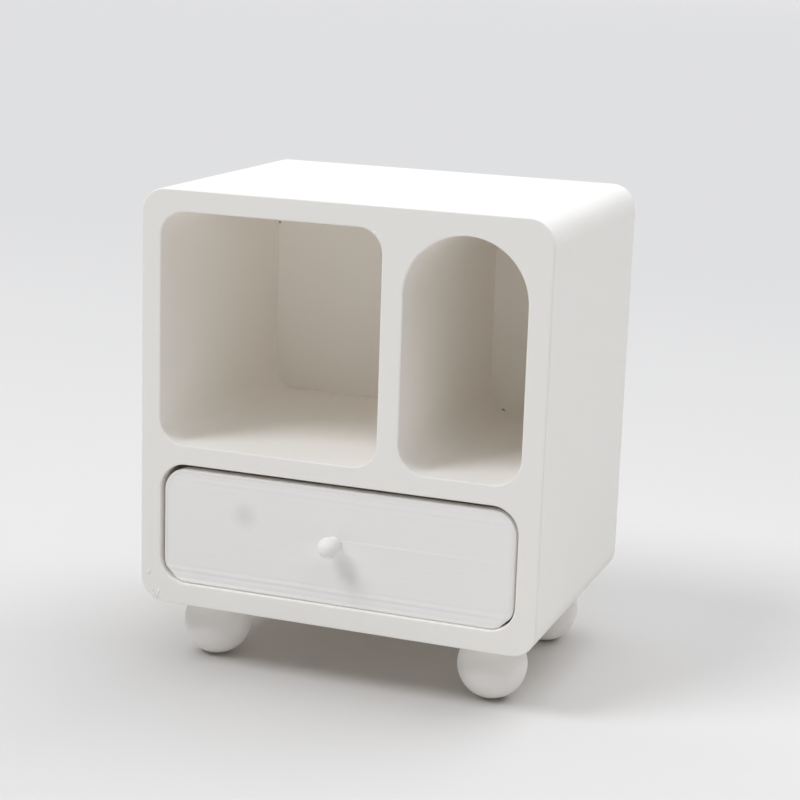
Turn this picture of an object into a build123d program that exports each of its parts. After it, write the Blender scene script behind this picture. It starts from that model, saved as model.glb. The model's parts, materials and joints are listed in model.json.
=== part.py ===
"""Doll's-house cabinet with one drawer, two open niches and ball feet, at 1:12 scale.

The cabinet is a printed shell with three tunnels from front to back: a rounded-square niche at the
upper left, an arched niche at the upper right and a wide low one for the drawer below. A plate let
into a rebate closes the tunnels at the back. Four ball feet plug into blind holes in the underside.
The drawer is a tray of butted plates that slides on the floor of its tunnel, with a ball knob.

Millimetres. +Z is up, -Y is the front, +X is the right seen from the front. The origin is the centre
of the footprint, knob included, on the surface that the feet stand on.
"""

from build123d import *
import math
import os

# Cabinet shell
body_width = 50.0
body_height = 50.3
body_depth = 36.0
body_corner_radius = 3.0
edge_break = 0.2

left_wall = 2.5
right_wall = 2.7
drawer_wall = 2.63
roof_thickness = 2.6
deck_thickness = 2.4
floor_thickness = 2.7
divider_thickness = 2.65

# Tunnels through the shell
arch_width = 14.65
arch_lower_radius = 3.3
niche_corner_radius = 3.0
drawer_tunnel_height = 14.8
drawer_tunnel_radius = 3.2

# Back plate in its rebate
back_thickness = 1.8
rebate_lip = 1.0
back_fit = 0.1

# Ball feet
foot_radius = 4.17
foot_neck_radius = 1.7
foot_pad_radius = 0.7
foot_inset_x = 7.1
foot_inset_y = 7.0
foot_spigot_radius = 1.1
foot_spigot_length = 1.6
spigot_fit = 0.06
spigot_end_room = 0.2

# Drawer
drawer_recess = 0.3
drawer_side_room = 0.39
drawer_top_room = 0.6
drawer_floor_room = 0.05
drawer_back_room = 0.6
front_thickness = 2.0
front_edge_round = 0.8
tray_bottom = 1.6
tray_side = 1.8
tray_back = 1.6
tray_top_room = 3.25

# Knob
knob_radius = 1.3
knob_standoff = 1.76
knob_lift = 0.425
knob_neck_radius = 0.85
knob_spigot_radius = 0.6
knob_spigot_length = 1.4

# Places that follow from the sizes above
foot_pad_drop = math.sqrt(foot_radius**2 - foot_pad_radius**2)
foot_neck_rise = math.sqrt(foot_radius**2 - foot_neck_radius**2)
base_z = foot_neck_rise + foot_pad_drop
top_z = base_z + body_height
knob_reach = knob_standoff + knob_radius - drawer_recess
front_y = knob_reach / 2 - body_depth / 2
back_y = front_y + body_depth
tunnel_end_y = back_y - back_thickness

drawer_tunnel_z = base_z + floor_thickness
drawer_tunnel_top_z = drawer_tunnel_z + drawer_tunnel_height
drawer_tunnel_half = body_width / 2 - drawer_wall
niche_floor_z = drawer_tunnel_top_z + deck_thickness
niche_top_z = top_z - roof_thickness
arch_right_x = body_width / 2 - right_wall
arch_left_x = arch_right_x - arch_width
niche_right_x = arch_left_x - divider_thickness
niche_left_x = left_wall - body_width / 2

drawer_face_y = front_y + drawer_recess
drawer_z = drawer_tunnel_z + drawer_floor_room
drawer_half = drawer_tunnel_half - drawer_side_room
drawer_front_height = drawer_tunnel_height - drawer_floor_room - drawer_top_room
drawer_corner = drawer_tunnel_radius - drawer_side_room
tray_height = drawer_tunnel_height - drawer_floor_room - tray_top_room
tray_front_y = drawer_face_y + front_thickness
tray_end_y = tunnel_end_y - drawer_back_room
knob_z = drawer_z + drawer_front_height / 2 + knob_lift


def block(x_range, y_range, z_range):
    """Box between two corners, each axis given as (low, high)."""
    size = [high - low for low, high in (x_range, y_range, z_range)]
    middle = [(high + low) / 2 for low, high in (x_range, y_range, z_range)]
    return Pos(*middle) * Box(*size)


def upright(outline, y_from, y_to):
    """Solid made from an outline drawn in X and Z, running from y_from back to y_to."""
    plane = Plane(origin=(0, y_from, 0), x_dir=(1, 0, 0), z_dir=(0, -1, 0))
    return extrude(plane * outline, amount=y_from - y_to)


def rounded_outline(x_range, z_range, radius):
    """Rectangle in X and Z with four equal round corners."""
    width = x_range[1] - x_range[0]
    height = z_range[1] - z_range[0]
    middle = Pos((x_range[0] + x_range[1]) / 2, (z_range[0] + z_range[1]) / 2)
    return middle * RectangleRounded(width, height, radius)


def arch_outline(x_range, z_range, lower_radius):
    """Doorway shape: a half circle across the full width on top, round lower corners."""
    left, right = x_range
    low, high = z_range
    crown_radius = (right - left) / 2
    spring = high - crown_radius
    middle = (left + right) / 2
    with BuildSketch() as sketch:
        with BuildLine():
            Polyline((left, spring), (left, low), (right, low), (right, spring))
            ThreePointArc((right, spring), (middle, high), (left, spring))
        make_face()
        corners = sketch.vertices().group_by(Axis.Y)[0]
        fillet(corners, lower_radius)
    return sketch.sketch


def drawer_outline(height, rows):
    """Section of the drawer, with round corners in the given rows: 0 is the lower one, -1 the upper."""
    middle = Pos(0, drawer_z + height / 2)
    section = middle * Rectangle(2 * drawer_half, height)
    corners = section.vertices().group_by(Axis.Y)
    return fillet([corner for row in rows for corner in corners[row]], drawer_corner)


def carcass():
    """Shell with three tunnels, a rebate round the back and four blind holes underneath."""
    outline = rounded_outline(
        (-body_width / 2, body_width / 2), (base_z, top_z), body_corner_radius
    )
    shell = upright(outline, front_y, back_y)

    niche = rounded_outline(
        (niche_left_x, niche_right_x), (niche_floor_z, niche_top_z), niche_corner_radius
    )
    arch = arch_outline(
        (arch_left_x, arch_right_x), (niche_floor_z, niche_top_z), arch_lower_radius
    )
    tunnel = rounded_outline(
        (-drawer_tunnel_half, drawer_tunnel_half),
        (drawer_tunnel_z, drawer_tunnel_top_z),
        drawer_tunnel_radius,
    )
    for hollow in (niche, arch, tunnel):
        shell -= upright(hollow, front_y, back_y)

    shell -= upright(plate_outline(0), tunnel_end_y, back_y)
    shell = fillet(shell.faces().sort_by(Axis.Y)[0].edges(), edge_break)
    shell = fillet(shell.faces().sort_by(Axis.Y)[-1].outer_wire().edges(), edge_break)

    hole = Cylinder(
        foot_spigot_radius + spigot_fit,
        foot_spigot_length + spigot_end_room,
        align=(Align.CENTER, Align.CENTER, Align.MIN),
    )
    for place in foot_places().values():
        shell -= Pos(*place, base_z) * hole
    return shell


def plate_outline(gap):
    """Outline of the rebate, or of the plate that lies in it with a gap all round."""
    inset = rebate_lip + gap
    half = body_width / 2 - inset
    radius = body_corner_radius - inset
    return rounded_outline((-half, half), (base_z + inset, top_z - inset), radius)


def back_panel():
    """Plate that closes the tunnels, flush with the back of the shell."""
    return upright(plate_outline(back_fit), tunnel_end_y, back_y)


def foot_places():
    """Centres of the feet in X and Y, by name."""
    x = body_width / 2 - foot_inset_x
    return {
        "foot_front_left": (-x, front_y + foot_inset_y),
        "foot_front_right": (x, front_y + foot_inset_y),
        "foot_rear_left": (-x, back_y - foot_inset_y),
        "foot_rear_right": (x, back_y - foot_inset_y),
    }


def foot():
    """Ball cut flat where it meets the underside and the table, with a spigot on top."""
    ball = Pos(0, 0, foot_pad_drop) * Sphere(foot_radius)
    span = (-foot_radius, foot_radius)
    ball &= block(span, span, (0, base_z))
    spigot = Cylinder(
        foot_spigot_radius, foot_spigot_length, align=(Align.CENTER, Align.CENTER, Align.MIN)
    )
    return ball + Pos(0, 0, base_z) * spigot


def drawer_front():
    """Front plate with round corners, a softened face and a blind hole for the knob."""
    section = drawer_outline(drawer_front_height, (0, -1))
    plate = upright(section, drawer_face_y, tray_front_y)
    plate = fillet(plate.faces().sort_by(Axis.Y)[0].edges(), front_edge_round)
    hole = Cylinder(knob_spigot_radius + spigot_fit, knob_spigot_length + spigot_end_room)
    depth = knob_spigot_length + spigot_end_room
    return plate - Pos(0, drawer_face_y + depth / 2, knob_z) * Rot(90, 0, 0) * hole


def drawer_tray():
    """The four plates behind the front, cut from one block so that their round edges run on."""
    outer = upright(drawer_outline(tray_height, (0,)), tray_front_y, tray_end_y)
    inner = drawer_half - tray_side
    x_all = (-drawer_half, drawer_half)
    y_all = (tray_front_y, tray_end_y)
    z_bottom = (drawer_z, drawer_z + tray_bottom)
    z_wall = (drawer_z + tray_bottom, drawer_z + tray_height)
    return {
        "drawer_bottom": outer & block(x_all, y_all, z_bottom),
        "drawer_left_side": outer & block((-drawer_half, -inner), y_all, z_wall),
        "drawer_right_side": outer & block((inner, drawer_half), y_all, z_wall),
        "drawer_back": block((-inner, inner), (tray_end_y - tray_back, tray_end_y), z_wall),
    }


def drawer_knob():
    """Ball on a short neck, with a spigot behind it for the hole in the front."""
    ball = Pos(0, -knob_standoff, 0) * Sphere(knob_radius)
    neck = Pos(0, -knob_standoff / 2, 0) * Rot(90, 0, 0) * Cylinder(knob_neck_radius, knob_standoff)
    spigot = Cylinder(knob_spigot_radius, knob_spigot_length)
    knob = ball + neck + Pos(0, knob_spigot_length / 2, 0) * Rot(90, 0, 0) * spigot
    return Pos(0, drawer_face_y, knob_z) * knob


def all_parts():
    """Every piece by its name."""
    parts = {
        "carcass": carcass(),
        "back_panel": back_panel(),
        "drawer_front": drawer_front(),
        "drawer_knob": drawer_knob(),
    }
    parts.update(drawer_tray())
    for name, place in foot_places().items():
        parts[name] = Pos(*place, 0) * foot()
    return parts


os.makedirs("parts", exist_ok=True)
for node, shape in all_parts().items():
    export_step(shape, f"parts/{node}.step")
    box = shape.bounding_box()
    print(f"{node:18} {shape.volume:10.2f} mm3  {box.size.X:.2f} x {box.size.Y:.2f} x {box.size.Z:.2f}")
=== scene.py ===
# %% [markdown]
# # A doll's-house cabinet in matt white print plastic
#
# The cabinet is 50 mm wide: a printed shell with a square niche, an arched niche and a drawer, on four
# ball feet. Its working model is already made, so this lesson loads it as a fixed frame and gives it its
# looks. White plastic on a white table has almost no colour to help the eye. What makes it real is the
# shape of the light, the soft rounding of each edge, and the fine beads that a printer lays down.

# %% Load the frame
import json
import math

import bpy
import numpy as np
from mathutils import Matrix, Vector


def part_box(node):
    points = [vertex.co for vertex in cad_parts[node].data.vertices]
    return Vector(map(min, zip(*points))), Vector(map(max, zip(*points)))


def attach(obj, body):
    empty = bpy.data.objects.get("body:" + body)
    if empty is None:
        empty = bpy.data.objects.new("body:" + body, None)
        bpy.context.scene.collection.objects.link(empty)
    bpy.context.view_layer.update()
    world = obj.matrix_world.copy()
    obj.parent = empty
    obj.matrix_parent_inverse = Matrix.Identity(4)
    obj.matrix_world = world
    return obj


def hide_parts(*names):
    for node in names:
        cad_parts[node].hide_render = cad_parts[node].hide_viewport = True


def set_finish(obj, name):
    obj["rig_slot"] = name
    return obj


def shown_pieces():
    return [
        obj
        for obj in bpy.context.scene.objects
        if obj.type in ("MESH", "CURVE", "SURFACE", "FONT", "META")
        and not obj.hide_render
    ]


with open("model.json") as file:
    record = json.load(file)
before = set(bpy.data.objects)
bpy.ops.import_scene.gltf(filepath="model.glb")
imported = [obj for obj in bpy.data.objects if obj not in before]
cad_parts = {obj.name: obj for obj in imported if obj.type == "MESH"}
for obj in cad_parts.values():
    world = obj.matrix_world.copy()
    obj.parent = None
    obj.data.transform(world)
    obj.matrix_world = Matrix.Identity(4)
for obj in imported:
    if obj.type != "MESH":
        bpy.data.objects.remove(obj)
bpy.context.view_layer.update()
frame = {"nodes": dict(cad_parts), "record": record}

MM = 0.001

# %% [markdown]
# ## Sizes that the looks need
#
# Everything is placed from the frame's own boxes, so it stays right if the cabinet is made larger. Only
# what a box can't say, such as a corner's radius, is a number here.

# %% Read the places off the frame
shell_low, shell_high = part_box("carcass")
front_low, front_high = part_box("drawer_front")
knob_low, knob_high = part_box("drawer_knob")
panel_low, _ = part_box("back_panel")

body_width = shell_high.x - shell_low.x
face_y = shell_low.y
base_z = shell_low.z

layer_pitch = 0.2 * MM
corner_radius = 2.81 * MM
foot_pad_radius, foot_spigot_radius = 0.7 * MM, 1.1 * MM
knob_neck_radius, knob_spigot_radius = 0.85 * MM, 0.6 * MM
print("body", round(body_width / MM, 2), "mm wide, underside at", round(base_z / MM, 2), "mm")

# %% [markdown]
# ## Two ways to close a surface
#
# Every new piece is a grid of points worked out as one numpy array. A turned or lofted piece is a stack of
# rings, closed at each end by a fan. A plate is two sheets of the same grid joined round their rim. In
# both cases the sign of the enclosed volume says whether the faces look outwards, and flips them if not.


# %% Mesh helpers
def closed_mesh(name, points, faces):
    """Object from points (n, 3) and faces, turned so that its faces look outwards.

    The volume is the sum, over fans of triangles, of corner . (corner x corner) / 6.
    """
    corners = [(face[0], face[k], face[k + 1]) for face in faces for k in range(1, len(face) - 1)]
    a, b, c = (points[np.array(corners)[:, k]] for k in range(3))
    volume = np.einsum("ij,ij->i", a, np.cross(b, c)).sum() / 6
    if volume < 0:
        faces = [face[::-1] for face in faces]
    mesh = bpy.data.meshes.new(name)
    mesh.from_pydata(points.tolist(), [], faces)
    mesh.shade_smooth()
    mesh.set_sharp_from_angle(angle=math.radians(40))
    piece = bpy.data.objects.new(name, mesh)
    bpy.context.scene.collection.objects.link(piece)
    print(f"{name}: {len(points)} points, {abs(volume) / MM**3:.2f} mm3")
    return piece


def rings_mesh(name, rings):
    """Closed skin over a stack of rings (count, around, 3), with a fan at each end."""
    count, around, _ = rings.shape
    points = np.concatenate([rings.reshape(-1, 3), rings[[0, -1]].mean(axis=1)])
    i, j = np.meshgrid(np.arange(count - 1), np.arange(around), indexing="ij")
    k = (j + 1) % around
    sides = np.stack([i * around + j, i * around + k, (i + 1) * around + k, (i + 1) * around + j], -1)
    j = np.arange(around)
    k = (j + 1) % around
    first = np.stack([np.full(around, count * around), k, j], -1)
    last = np.stack([np.full(around, count * around + 1), j, k], -1)
    last[:, 1:] += (count - 1) * around
    faces = sides.reshape(-1, 4).tolist() + first.tolist() + last.tolist()
    return closed_mesh(name, points, faces)


def plate_mesh(name, front, back):
    """Closed plate between two sheets (rows, columns, 3) that share their rim."""
    rows, columns, _ = front.shape
    size = rows * columns
    index = np.arange(size).reshape(rows, columns)
    quads = np.stack([index[:-1, :-1], index[:-1, 1:], index[1:, 1:], index[1:, :-1]], -1).reshape(-1, 4)
    rim = np.concatenate([index[0, :-1], index[:-1, -1], index[-1, :0:-1], index[:0:-1, 0]])
    turned = np.roll(rim, -1)
    walls = np.stack([turned, rim, rim + size, turned + size], -1)
    points = np.concatenate([front.reshape(-1, 3), back.reshape(-1, 3)])
    faces = quads.tolist() + (quads[:, ::-1] + size).tolist() + walls.tolist()
    return closed_mesh(name, points, faces)


# %% [markdown]
# ## How a printed wall looks close up
#
# The printer lays plastic in beads 0.2 mm high. Each bead bulges a little, and each is set back by its own
# amount, because the nozzle never stops in quite the same place: a few thousandths of a millimetre on a
# flat face, a few hundredths on the knob. The relief below is that setback, as a distance under the true
# surface. It is never negative, so a piece with this relief stays inside the box of the plain one.


# %% Relief of printed layers
def layer_relief(along, depth, seed):
    """Setback of a printed wall, at a distance `along` the direction in which the layers are stacked.

    Across one bead it is depth times the square of the distance from the bead's middle, which is a
    parabola with its groove between two beads, plus a random share of depth that is the bead's own.
    """
    table_size = 1024
    layer = np.floor(along / layer_pitch)
    across = 2 * (along / layer_pitch - layer) - 1
    own = np.random.default_rng(seed).random(table_size)[layer.astype(int) % table_size]
    return depth * (across**2 + own)


# %% [markdown]
# ## The drawer front
#
# The drawer is printed standing up, so its beads run level across the front. Where the tray's floor meets
# the front the wall shrinks as it cools, and leaves a long low ridge with a groove on each side. A fainter
# ridge runs along the top. A low step starts at the top of the knob, where the printer first crossed it.
# The plate is a height map over its own outline: row by row in height, and from edge to edge in each row.
# Its face lies a little behind the true plane, so that ridges, step and lip have room to stand out.

# %% Drawer front
front_half = (front_high.x - front_low.x) / 2
front_height = front_high.z - front_low.z
knob_z = (knob_low.z + knob_high.z) / 2
knob_radius = (knob_high.x - knob_low.x) / 2

edge_width, edge_depth = 0.22 * MM, 0.14 * MM
worn_width, worn_depth = 0.80 * MM, 0.26 * MM
left_cut, right_cut = 1.95 * MM, 1.84 * MM
lip_inset, lip_width, lip_rise = 0.25 * MM, 0.15 * MM, 0.085 * MM
top_fall = 0.19 * MM
bead_depth = 0.004 * MM
ridge_room = 0.09 * MM

# height above the drawer's underside, half width and rise of each line across the front, in mm
front_lines = [
    (0.55, 0.12, -0.012),
    (1.25, 0.18, -0.022),
    (1.60, 0.22, 0.030),
    (2.02, 0.18, -0.018),
    (6.10, 0.12, -0.006),
    (12.45, 0.14, -0.010),
    (12.80, 0.16, 0.012),
    (13.17, 0.14, -0.010),
]
step_place, step_rise, step_width, step_reach = 0.42 * knob_radius, 0.05 * MM, 0.035 * MM, 1.4 * MM
smudge_x, smudge_rise, smudge_radius, smudge_depth = -11.5 * MM, 9.36 * MM, 1.30 * MM, 0.025 * MM


def row_ends(height):
    """Left and right end of the front at a height above its underside.

    In a round corner the end draws in by radius - sqrt(radius^2 - rise^2). Both lower corners are also cut
    off by a straight bevel, where the first layers were pressed flat on the printer's bed.
    """
    into_corner = np.maximum(corner_radius - height, height - front_height + corner_radius)
    rise = np.clip(into_corner, 0, corner_radius)
    inset = corner_radius - np.sqrt(corner_radius**2 - rise**2)
    left_bevel = np.clip(left_cut - height, 0, None)
    right_bevel = np.clip(right_cut - height, 0, None)
    return -front_half + np.maximum(inset, left_bevel), front_half - np.maximum(inset, right_bevel)


def distance_to_outline(x, height):
    """How far a point lies inside the front's outline: the usual rounded-box distance, or a bevel's."""
    middle = front_height / 2
    over_x = np.abs(x) - (front_half - corner_radius)
    over_z = np.abs(height - middle) - (middle - corner_radius)
    outside = np.hypot(np.maximum(over_x, 0), np.maximum(over_z, 0))
    inside = np.minimum(np.maximum(over_x, over_z), 0)
    to_left = (front_half + x + height - left_cut) / math.sqrt(2)
    to_right = (front_half - x + height - right_cut) / math.sqrt(2)
    to_bevel = np.minimum(to_left, to_right)
    return np.clip(np.minimum(corner_radius - outside - inside, to_bevel), 0, None)


def front_relief(x, height):
    """Setback of the front's face: beads, level lines, the step beside the knob and the smudge.

    A line is a bell curve of the height above it. The step is a smooth stair, 1 / (1 + e^(above / width)),
    that fades out below; the smudge is a flat-bottomed hollow, e^(-(away / radius)^4).
    """
    setback = layer_relief(height, bead_depth, seed=3)
    waver = 0.04 * MM * np.sin(x / (9.0 * MM)) + 0.02 * MM * np.sin(x / (2.3 * MM) + 1.0)
    for line_height, half_width, rise in front_lines:
        off = (height + waver - line_height * MM) / (half_width * MM)
        setback = setback - rise * MM * np.exp(-(off**2))
    beside = np.clip((x - 0.5 * MM) / (1.5 * MM), 0, 1) * np.clip(1.4 - x / (16 * MM), 0, 1)
    above = height + front_low.z - knob_z - step_place
    step = np.exp(-((above / step_reach) ** 2)) / (1 + np.exp(above / step_width))
    setback = setback - step_rise * beside * step
    away = np.hypot(x - smudge_x, height - smudge_rise) / smudge_radius
    return setback + smudge_depth * np.exp(-(away**4))


def drawer_front():
    """Plate whose face lies at the front's plane plus elliptic edge rounds and the relief.

    An edge round sets the face back by depth * (1 - sqrt(1 - near^2)), where near goes from 0 to 1 over
    the round's width. The right edge has a wider one of its own. Inside the round stands a thin lip, a
    bell curve of the distance to the outline, which fades out towards the right. The plate's top falls a
    little towards the back.
    """
    rows, columns = 4 * round(front_height / layer_pitch) + 1, 141
    height = np.linspace(0, front_height, rows)[:, None]
    share = (1 + np.sin(np.linspace(-math.pi / 2, math.pi / 2, columns)))[None, :] / 2
    left, right = row_ends(height)
    x = left + (right - left) * share
    height = np.broadcast_to(height, x.shape)
    inward = distance_to_outline(x, height)
    near = np.clip(1 - inward / edge_width, 0, 1)
    fade = np.clip((front_half - x) / (2 * front_half), 0, 1)
    lip = lip_rise * np.exp(-(((inward - lip_inset) / lip_width) ** 2)) * fade
    near_right = np.clip(1 - (right - x) / worn_width, 0, 1)
    edge = np.maximum(
        edge_depth * (1 - np.sqrt(1 - near**2)), worn_depth * (1 - np.sqrt(1 - near_right**2))
    )
    y = front_low.y + ridge_room + edge - lip + front_relief(x, height) * (1 - near)
    z = front_low.z + height
    sheet = np.stack([x, y, z], -1)
    fall = top_fall * np.clip(height / front_height, 0, 1) ** 8
    rear = np.stack([x, np.full_like(x, front_high.y), z - fall], -1)
    return plate_mesh("drawer_front_face", sheet, rear)


drawer_face = drawer_front()
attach(drawer_face, "drawer")
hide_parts("drawer_front")
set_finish(drawer_face, "printed_drawer")

# %% [markdown]
# ## The knob
#
# A ball this small is only a dozen beads high, so its steps show. The profile is turned about the knob's
# own axis, from front to back, and then every point is drawn in towards that axis by the relief of the
# level beads. The ball flows into its neck, and the spigot goes on into the plate behind.

# %% Knob
ball_y = knob_low.y + knob_radius
knob_bead_depth = 0.045 * MM


def turned_profile(knots, steps):
    """Points along straight runs between knots (place, radius), the same number on each run."""
    knots = np.array(knots)
    share = np.linspace(0, 1, steps, endpoint=False)[None, :, None]
    runs = knots[:-1, None] + (knots[1:, None] - knots[:-1, None]) * share
    return np.concatenate([runs.reshape(-1, 2), knots[-1:]])


def knob():
    """Surface of revolution about Y: spigot, neck with a small flare, then an arc of the ball."""
    start = math.pi - math.asin(knob_neck_radius / knob_radius)
    turn = np.linspace(start, 0.02, 34)
    arc = np.stack([ball_y + knob_radius * -np.cos(turn), knob_radius * np.sin(turn)], -1)
    stem = [
        (knob_high.y, 0.2 * knob_spigot_radius),
        (knob_high.y, knob_spigot_radius),
        (front_low.y + 0.05 * MM, knob_spigot_radius),
        (front_low.y + 0.05 * MM, 1.12 * knob_neck_radius),
        (front_low.y - 0.12 * MM, knob_neck_radius),
        tuple(arc[0]),
    ]
    profile = np.concatenate([turned_profile(stem, 4)[:-1], arc])
    around = np.linspace(0, 2 * math.pi, 96, endpoint=False)
    y = np.broadcast_to(profile[:, :1], (len(profile), len(around)))
    radius = profile[:, 1:] * np.ones_like(around)
    rise = radius * np.sin(around)
    setback = layer_relief(rise + knob_radius, knob_bead_depth, seed=8) * (y < front_low.y)
    radius = np.clip(radius - setback, 0.01 * MM, None)
    points = np.stack([radius * np.cos(around), y, knob_z + radius * np.sin(around)], -1)
    return rings_mesh("knob_ball", points)


knob_piece = knob()
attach(knob_piece, "drawer")
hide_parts("drawer_knob")
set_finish(knob_piece, "printed_drawer")

# %% [markdown]
# ## The ball feet
#
# The feet were printed lying down with the shell, so their beads stand upright, one behind another from
# front to back, and show as fine upright streaks. Each foot is one profile turned about the upright: a
# flat pad on the table, the ball, the neck cut off by the underside, and the spigot inside the shell.

# %% Feet
foot_bead_depth = 0.012 * MM


def ball_foot(node):
    """Turned ball whose points are drawn in along the ball's own normal by beads stacked along Y."""
    low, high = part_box(node)
    radius = (high.x - low.x) / 2
    centre_x, centre_y = (high.x + low.x) / 2, (high.y + low.y) / 2
    centre_z = math.sqrt(radius**2 - foot_pad_radius**2)
    neck = math.sqrt(radius**2 - (base_z - centre_z) ** 2)
    polar = np.linspace(math.asin(foot_pad_radius / radius), math.pi - math.asin(neck / radius), 90)
    ball = np.stack([radius * np.sin(polar), centre_z - radius * np.cos(polar)], -1)
    pad = [(0.3 * foot_pad_radius, 0.0), (0.98 * foot_pad_radius, 0.0)]
    spigot = foot_spigot_radius
    top = [(spigot, base_z), (spigot, high.z), (0.3 * spigot, high.z)]
    profile = np.concatenate([pad, ball, top])
    around = np.linspace(0, 2 * math.pi, 160, endpoint=False)
    ring = profile[:, 0][:, None]
    out_x, out_y = ring * np.cos(around), ring * np.sin(around)
    z = np.broadcast_to(profile[:, 1][:, None], out_x.shape)
    shown = np.zeros((len(profile), 1))
    shown[len(pad) + 2 : len(pad) + len(ball) - 1] = 1
    scale = 1 - shown * layer_relief(out_y + 2 * radius, foot_bead_depth, seed=21) / radius
    points = np.stack(
        [centre_x + out_x * scale, centre_y + out_y * scale, centre_z + (z - centre_z) * scale], -1
    )
    return rings_mesh(node.replace("foot_", "ball_foot_"), points)


for side in ("front_left", "front_right", "rear_left", "rear_right"):
    piece = ball_foot(f"foot_{side}")
    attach(piece, "cabinet")
    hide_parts(f"foot_{side}")
    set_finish(piece, "printed_feet")

# %% [markdown]
# ## Stray plastic
#
# Where the nozzle lifts off, it leaves a dot or a curl of plastic. The shell has a dot and a curl at its
# lower left corner and a nub beside the upper right corner of the square niche. A dot is a low dome with a
# lumpy rim: a half ellipsoid whose radius swells and shrinks with a few sine waves round it. The curl is a
# thin thread carried along most of an uneven loop, thinning out at both ends.

# %% Dots and a curl on the front of the shell
sink = 0.05 * MM


def plastic_dot(name, x, rise, radius, height, seed):
    """Low dome on the shell's face, sunk a little into it so that it has no gap."""
    random = np.random.default_rng(seed)
    around = np.linspace(0, 2 * math.pi, 28, endpoint=False)
    waves = sum(
        random.uniform(0.05, 0.16) * np.sin(k * around + random.uniform(0, 6)) for k in (2, 3, 5)
    )
    polar = np.linspace(0.06, math.pi / 2, 9)[:, None]
    reach = radius * np.sin(polar) * (1 + waves)
    y = face_y + sink - (height + sink) * np.cos(polar) * np.ones_like(around)
    centre_z = base_z + rise
    points = np.stack([x + reach * np.cos(around), y, centre_z + reach * np.sin(around)], -1)
    return rings_mesh(name, points)


def plastic_curl(name, x, rise, loop_radius, thread_radius, seed):
    """Thread of plastic along 300 degrees of an uneven loop on the shell's face.

    The loop's radius is its mean times 1 plus two sine waves. The thread is a circle of points across the
    loop's own direction, with a radius of thread_radius times the fourth root of 1 - (2 * share - 1)^8.
    """
    random = np.random.default_rng(seed)
    share = np.linspace(0.01, 0.99, 60)
    turn = 2.2 + share * math.radians(300)
    waves = sum(random.uniform(0.08, 0.20) * np.sin(k * turn + random.uniform(0, 6)) for k in (2, 3))
    out = loop_radius * (1 + waves)
    middle = np.stack([x + 0.8 * out * np.cos(turn), base_z + rise + 1.25 * out * np.sin(turn)], -1)
    along = np.gradient(middle, axis=0)
    across = np.stack([-along[:, 1], along[:, 0]], -1) / np.linalg.norm(along, axis=1)[:, None]
    thick = thread_radius * (1 - (2 * share - 1) ** 8) ** 0.25
    thick = thick * (1 + 0.35 * np.sin(5 * turn + 1))
    angle = np.linspace(0, 2 * math.pi, 12, endpoint=False)
    flat = middle[:, None] + across[:, None] * (thick[:, None] * np.cos(angle))[..., None]
    y = face_y + 0.3 * thread_radius - thick[:, None] * np.sin(angle)
    return rings_mesh(name, np.stack([flat[..., 0], y, flat[..., 1]], -1))


stray_plastic = [
    plastic_dot("plastic_dot", -23.92 * MM, 3.55 * MM, 0.29 * MM, 0.12 * MM, seed=1),
    plastic_dot("plastic_nub", 4.10 * MM, 47.20 * MM, 0.22 * MM, 0.09 * MM, seed=2),
    plastic_curl("plastic_curl", -22.96 * MM, 1.17 * MM, 0.40 * MM, 0.12 * MM, seed=4),
]
for piece in stray_plastic:
    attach(piece, "cabinet")
    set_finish(piece, "printed_shell")

# %% [markdown]
# ## A finish for printed plastic
#
# One shader node group makes the print texture for every piece. It counts layers along a stacking
# direction, gives each bead its bulge and its own small tone, and adds a fine grain. Its two outputs are a
# height for a Bump node and a tone for the colour. A second, small group gives a mask round one point. It
# paints the shade of each pinhole as a dark spot, two of them where the back plate meets the niches, and
# makes the dull smudge on the drawer front.
# The Principled shader stays in each material, and so do the values that are the same all over.


# %% Print texture node group
waver_scale, grain_scale, cloud_scale = 120.0, 2600.0, 90.0
bead_tone_share = 0.35


def add_node(tree, kind, **settings):
    node = tree.nodes.new(kind)
    for key, value in settings.items():
        setattr(node, key, value)
    return node


def math_node(tree, operation, first, second=None):
    """Math node on sockets or numbers, returning its output socket."""
    node = add_node(tree, "ShaderNodeMath", operation=operation)
    for slot_number, value in enumerate(v for v in (first, second) if v is not None):
        if isinstance(value, (int, float)):
            node.inputs[slot_number].default_value = value
        else:
            tree.links.new(value, node.inputs[slot_number])
    return node.outputs[0]


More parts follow.
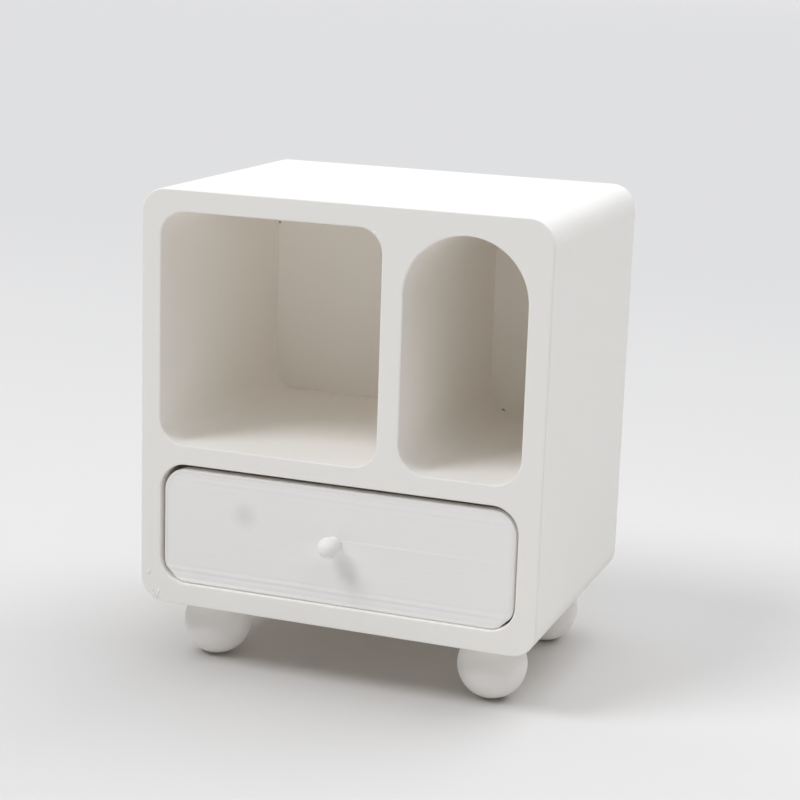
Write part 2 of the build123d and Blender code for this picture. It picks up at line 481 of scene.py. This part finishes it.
def print_texture_group():
    """Height = bead bulge + grain; Tone = each bead's own tone + slow clouds."""
    group = bpy.data.node_groups.new("print texture", "ShaderNodeTree")
    sockets = group.interface
    sockets.new_socket("Vector", in_out="INPUT", socket_type="NodeSocketVector")
    sockets.new_socket("Stacking", in_out="INPUT", socket_type="NodeSocketVector")
    sockets.new_socket("Layers per metre", in_out="INPUT", socket_type="NodeSocketFloat")
    sockets.new_socket("Grain", in_out="INPUT", socket_type="NodeSocketFloat")
    sockets.new_socket("Height", in_out="OUTPUT", socket_type="NodeSocketFloat")
    sockets.new_socket("Tone", in_out="OUTPUT", socket_type="NodeSocketFloat")
    given = add_node(group, "NodeGroupInput")
    result = add_node(group, "NodeGroupOutput")

    along = add_node(group, "ShaderNodeVectorMath", operation="DOT_PRODUCT")
    group.links.new(given.outputs["Vector"], along.inputs[0])
    group.links.new(given.outputs["Stacking"], along.inputs[1])
    waver = add_node(group, "ShaderNodeTexNoise")
    waver.inputs["Scale"].default_value = waver_scale
    waver.inputs["Detail"].default_value = 1.0
    group.links.new(given.outputs["Vector"], waver.inputs["Vector"])
    count = math_node(group, "MULTIPLY", along.outputs["Value"], given.outputs["Layers per metre"])
    count = math_node(group, "ADD", count, math_node(group, "MULTIPLY", waver.outputs[0], 0.5))
    across = math_node(group, "SUBTRACT", math_node(group, "FRACT", count), 0.5)
    across_squared = math_node(group, "POWER", across, 2.0)
    bulge = math_node(group, "SUBTRACT", 1.0, math_node(group, "MULTIPLY", across_squared, 4.0))

    own = add_node(group, "ShaderNodeTexWhiteNoise", noise_dimensions="1D")
    group.links.new(math_node(group, "FLOOR", count), own.inputs["W"])
    grain = add_node(group, "ShaderNodeTexNoise")
    grain.inputs["Scale"].default_value = grain_scale
    grain.inputs["Detail"].default_value = 3.0
    grain.inputs["Roughness"].default_value = 0.6
    group.links.new(given.outputs["Vector"], grain.inputs["Vector"])
    clouds = add_node(group, "ShaderNodeTexNoise")
    clouds.inputs["Scale"].default_value = cloud_scale
    clouds.inputs["Detail"].default_value = 2.0
    group.links.new(given.outputs["Vector"], clouds.inputs["Vector"])

    grains = math_node(group, "MULTIPLY", grain.outputs[0], given.outputs["Grain"])
    half_bulge = math_node(group, "MULTIPLY", bulge, 0.5)
    half_own = math_node(group, "MULTIPLY", own.outputs["Value"], 0.5)
    height = math_node(group, "ADD", half_bulge, half_own)
    group.links.new(math_node(group, "ADD", height, grains), result.inputs["Height"])
    bead_tone = math_node(group, "MULTIPLY", own.outputs["Value"], bead_tone_share)
    cloud_tone = math_node(group, "MULTIPLY", clouds.outputs[0], 1 - bead_tone_share)
    group.links.new(math_node(group, "ADD", bead_tone, cloud_tone), result.inputs["Tone"])
    return group


print_texture = print_texture_group()
print("node group:", print_texture.name, len(print_texture.nodes), "nodes")


# %% Soft spot node group
def soft_spot_group():
    """Mask = 1 at a point, falling smoothly to 0 at a radius from it."""
    group = bpy.data.node_groups.new("soft spot", "ShaderNodeTree")
    sockets = group.interface
    sockets.new_socket("Vector", in_out="INPUT", socket_type="NodeSocketVector")
    sockets.new_socket("Centre", in_out="INPUT", socket_type="NodeSocketVector")
    sockets.new_socket("Radius", in_out="INPUT", socket_type="NodeSocketFloat")
    sockets.new_socket("Mask", in_out="OUTPUT", socket_type="NodeSocketFloat")
    given = add_node(group, "NodeGroupInput")
    result = add_node(group, "NodeGroupOutput")
    distance = add_node(group, "ShaderNodeVectorMath", operation="DISTANCE")
    group.links.new(given.outputs["Vector"], distance.inputs[0])
    group.links.new(given.outputs["Centre"], distance.inputs[1])
    fall = add_node(group, "ShaderNodeMapRange", interpolation_type="SMOOTHSTEP")
    fall.inputs["To Min"].default_value = 1.0
    fall.inputs["To Max"].default_value = 0.0
    share = math_node(group, "DIVIDE", distance.outputs["Value"], given.outputs["Radius"])
    group.links.new(share, fall.inputs["Value"])
    group.links.new(fall.outputs[0], result.inputs["Mask"])
    return group


soft_spot = soft_spot_group()
print("node group:", soft_spot.name)


# %% Materials
warm_tones = ((0.928, 0.898, 0.852, 1.0), (0.948, 0.924, 0.884, 1.0))
cool_tones = ((0.930, 0.908, 0.884, 1.0), (0.944, 0.926, 0.906, 1.0))


def colour_mix(tree, factor, first, second):
    """Mix of two colours by a mask; the first may be a socket. Returns the mixed colour's socket."""
    mix = add_node(tree, "ShaderNodeMix", data_type="RGBA")
    tree.links.new(factor, mix.inputs["Factor"])
    if isinstance(first, tuple):
        mix.inputs[6].default_value = first
    else:
        tree.links.new(first, mix.inputs[6])
    mix.inputs[7].default_value = second
    return mix.outputs[2]


def printed_plastic(name, tones, stacking, bump_mm, grain, roughness, spots=()):
    """Matt plastic: two tones mixed by the beads, then each spot by its mask; bump from the beads' height.

    A spot is a centre in metres, a radius in metres and a colour.
    """
    material = bpy.data.materials.new(name)
    material.use_nodes = True
    tree = material.node_tree
    shader = tree.nodes["Principled BSDF"]
    shader.inputs["Roughness"].default_value = roughness
    shader.inputs["Specular IOR Level"].default_value = 0.35
    place = add_node(tree, "ShaderNodeTexCoord")
    texture = add_node(tree, "ShaderNodeGroup", node_tree=print_texture)
    texture.inputs["Stacking"].default_value = stacking
    texture.inputs["Layers per metre"].default_value = 1 / layer_pitch
    texture.inputs["Grain"].default_value = grain
    tree.links.new(place.outputs["Object"], texture.inputs["Vector"])
    colour = colour_mix(tree, texture.outputs["Tone"], *tones)
    for centre, radius, spot_colour in spots:
        spot = add_node(tree, "ShaderNodeGroup", node_tree=soft_spot)
        spot.inputs["Centre"].default_value = centre
        spot.inputs["Radius"].default_value = radius
        tree.links.new(place.outputs["Object"], spot.inputs["Vector"])
        colour = colour_mix(tree, spot.outputs["Mask"], colour, spot_colour)
    tree.links.new(colour, shader.inputs["Base Color"])
    bump = add_node(tree, "ShaderNodeBump")
    bump.inputs["Strength"].default_value = 1.0
    bump.inputs["Distance"].default_value = bump_mm * MM
    tree.links.new(texture.outputs["Height"], bump.inputs["Height"])
    tree.links.new(bump.outputs["Normal"], shader.inputs["Normal"])
    return material


# Painted shade: each pinhole is a dark spot of colour on the back plate, standing in for the shade inside
# the hole.
pinhole_painted_shade_colour = (0.10, 0.075, 0.05, 1.0)
smudge_colour = (0.835, 0.82, 0.80, 1.0)
painted_pinhole_shades = [
    ((-22.39 * MM, panel_low.y, base_z + 42.14 * MM), 0.26 * MM, pinhole_painted_shade_colour),
    ((9.53 * MM, panel_low.y, base_z + 20.10 * MM), 0.45 * MM, pinhole_painted_shade_colour),
]
smudge_reach = 2.3 * MM
smudge = ((smudge_x, front_low.y, front_low.z + smudge_rise), smudge_reach, smudge_colour)

shell_plastic = printed_plastic("shell plastic", warm_tones, (0, 1, 0), 0.010, 0.35, 0.62, painted_pinhole_shades)
drawer_plastic = printed_plastic("drawer plastic", cool_tones, (0, 0, 1), 0.006, 0.35, 0.60, [smudge])
feet_plastic = printed_plastic("feet plastic", cool_tones, (0, 1, 0), 0.014, 0.35, 0.60)


def wear(piece, material):
    """Gives every face of a piece one material."""
    piece.data.materials.clear()
    piece.data.materials.append(material)


finishes = {
    "printed_shell": shell_plastic,
    "printed_drawer": drawer_plastic,
    "printed_feet": feet_plastic,
}
for row in frame["record"]["subparts"]:
    wear(frame["nodes"][row["node"]], finishes[row["material_slot"]])
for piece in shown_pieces():
    if "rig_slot" in piece:
        wear(piece, finishes[piece["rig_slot"]])

# %% [markdown]
# ## The table, the light and the camera
#
# The table is a wide round sheet of pale paper that turns up at its rim like a dish, so that no view ends
# in a hard horizon. The paper's colour is painted a little darker behind the cabinet than in front of it:
# painted shade, where the light falls off towards the back. The light is soft and high: a key light over
# the left shoulder, a second from the right, and two from behind that brighten the top and rim the sides.
# They are sun lamps with a wide angle, which stand for large soft boxes far away, so they light the whole
# table alike. White walls hardly need fill light: the niches glow because the light goes from wall to wall
# many times, and takes on the warm tone of the plastic each time. So it may bounce ten times here, not
# four.


# %% Table
def dish(floor_radius, bend_radius, around=96):
    """Round floor whose rim follows a quarter circle upwards, as rings about the upright axis."""
    turn = np.linspace(0, math.pi / 2, 16)
    floor = np.stack([np.linspace(0.02, 1, 12) * floor_radius, np.zeros(12)], -1)
    rim = np.stack([floor_radius + bend_radius * np.sin(turn), bend_radius * (1 - np.cos(turn))], -1)
    profile = np.concatenate([floor, rim[1:]])
    angle = np.linspace(0, 2 * math.pi, around, endpoint=False)
    x = profile[:, :1] * np.cos(angle)
    y = profile[:, :1] * np.sin(angle)
    z = np.broadcast_to(profile[:, 1:], x.shape)
    points = np.concatenate([np.stack([x, y, z], -1).reshape(-1, 3), [(0.0, 0.0, 0.0)]])
    i, j = np.meshgrid(np.arange(len(profile) - 1), np.arange(around), indexing="ij")
    k = (j + 1) % around
    quads = np.stack([i * around + j, (i + 1) * around + j, (i + 1) * around + k, i * around + k], -1)
    inner = np.arange(around)
    fan = np.stack([np.full(around, len(points) - 1), inner, np.roll(inner, -1)], -1)
    mesh = bpy.data.meshes.new("table")
    mesh.from_pydata(points.tolist(), [], quads.reshape(-1, 4).tolist() + fan.tolist())
    mesh.shade_smooth()
    table = bpy.data.objects.new("table", mesh)
    bpy.context.scene.collection.objects.link(table)
    return table


table = dish(floor_radius=3.0, bend_radius=0.6)
table_paper = bpy.data.materials.new("table paper")
table_paper.use_nodes = True
paper_tree = table_paper.node_tree
paper_shader = paper_tree.nodes["Principled BSDF"]
# Painted shade: the paper's colour goes from the near tone to a darker far tone behind the cabinet,
# standing in for the light falling off there.
near_paper, far_paper_painted_shade = (0.692, 0.671, 0.647, 1.0), (0.622, 0.606, 0.588, 1.0)
painted_shade_far_y = 0.35
paper_place = add_node(paper_tree, "ShaderNodeTexCoord")
paper_split = add_node(paper_tree, "ShaderNodeSeparateXYZ")
paper_painted_shade_fade = add_node(paper_tree, "ShaderNodeMapRange", interpolation_type="SMOOTHSTEP")
paper_painted_shade_fade.inputs["From Min"].default_value = 0.0
paper_painted_shade_fade.inputs["From Max"].default_value = painted_shade_far_y
paper_tree.links.new(paper_place.outputs["Object"], paper_split.inputs[0])
paper_tree.links.new(paper_split.outputs["Y"], paper_painted_shade_fade.inputs["Value"])
paper_colour = colour_mix(paper_tree, paper_painted_shade_fade.outputs[0], near_paper, far_paper_painted_shade)
paper_tree.links.new(paper_colour, paper_shader.inputs["Base Color"])
paper_shader.inputs["Roughness"].default_value = 0.9
paper_shader.inputs["Specular IOR Level"].default_value = 0.0
wear(table, table_paper)


# %% Lights
def soft_sun(name, azimuth, elevation, spread, strength):
    """Sun lamp at an azimuth from the front (right is positive) and an elevation, in degrees."""
    light = bpy.data.lights.new(name, "SUN")
    light.angle = math.radians(spread)
    light.energy = strength
    light.color = light_tint
    a, e = math.radians(azimuth), math.radians(elevation)
    ray = Vector((math.sin(a) * math.cos(e), -math.cos(a) * math.cos(e), math.sin(e)))
    lamp = bpy.data.objects.new(name, light)
    bpy.context.scene.collection.objects.link(lamp)
    lamp.location = cabinet_middle + ray
    lamp.rotation_euler = ray.to_track_quat("Z", "Y").to_euler()


cabinet_middle = Vector((0.0, 0.0, 0.03))
light_tint = (0.968, 1.0, 1.050)
wall_to_wall_bounces = 10
soft_sun("key from the left", azimuth=-45, elevation=52, spread=25, strength=1.35)
soft_sun("fill from the right", azimuth=45, elevation=65, spread=50, strength=0.62)
soft_sun("back right", azimuth=135, elevation=57, spread=50, strength=1.42)
soft_sun("back left", azimuth=-135, elevation=67, spread=50, strength=0.76)

room = bpy.data.worlds.new("pale room")
room.use_nodes = True
room.node_tree.nodes["Background"].inputs["Color"].default_value = (1.0, 1.0, 1.0, 1.0)
room.node_tree.nodes["Background"].inputs["Strength"].default_value = 0.10
bpy.context.scene.world = room
bpy.context.scene.view_settings.view_transform = "Standard"
bpy.context.scene.cycles.diffuse_bounces = wall_to_wall_bounces


# %% Camera
def camera_axes(azimuth, elevation, roll):
    """Right, up and backward axes of a camera turned by these angles, in degrees.

    It looks along (-sin a cos e, cos a cos e, -sin e); right is level, and both right and up then turn
    by the roll about the line of sight.
    """
    a, e, t = (math.radians(v) for v in (azimuth, elevation, roll))
    ahead = np.array([-math.sin(a) * math.cos(e), math.cos(a) * math.cos(e), -math.sin(e)])
    right = np.cross(ahead, (0.0, 0.0, 1.0))
    right /= np.linalg.norm(right)
    up = np.cross(right, ahead)
    return math.cos(t) * right + math.sin(t) * up, math.cos(t) * up - math.sin(t) * right, -ahead


view_azimuth, view_elevation, view_roll = 19.959, 13.181, 1.903
eye_from_front = (1.6561, -4.1347, 1.5995)

lens = bpy.data.cameras.new("view")
lens.sensor_width = 36.0
lens.lens = 89.886
lens.clip_start = 0.01
camera = bpy.data.objects.new("view", lens)
bpy.context.scene.collection.objects.link(camera)
eye = Vector((0.0, face_y, base_z)) + body_width * Vector(eye_from_front)
axes = np.stack(camera_axes(view_azimuth, view_elevation, view_roll), axis=1)
camera.matrix_world = Matrix.Translation(eye) @ Matrix(axes.tolist()).to_4x4()
bpy.context.scene.camera = camera
print("camera at", [round(v, 4) for v in eye])
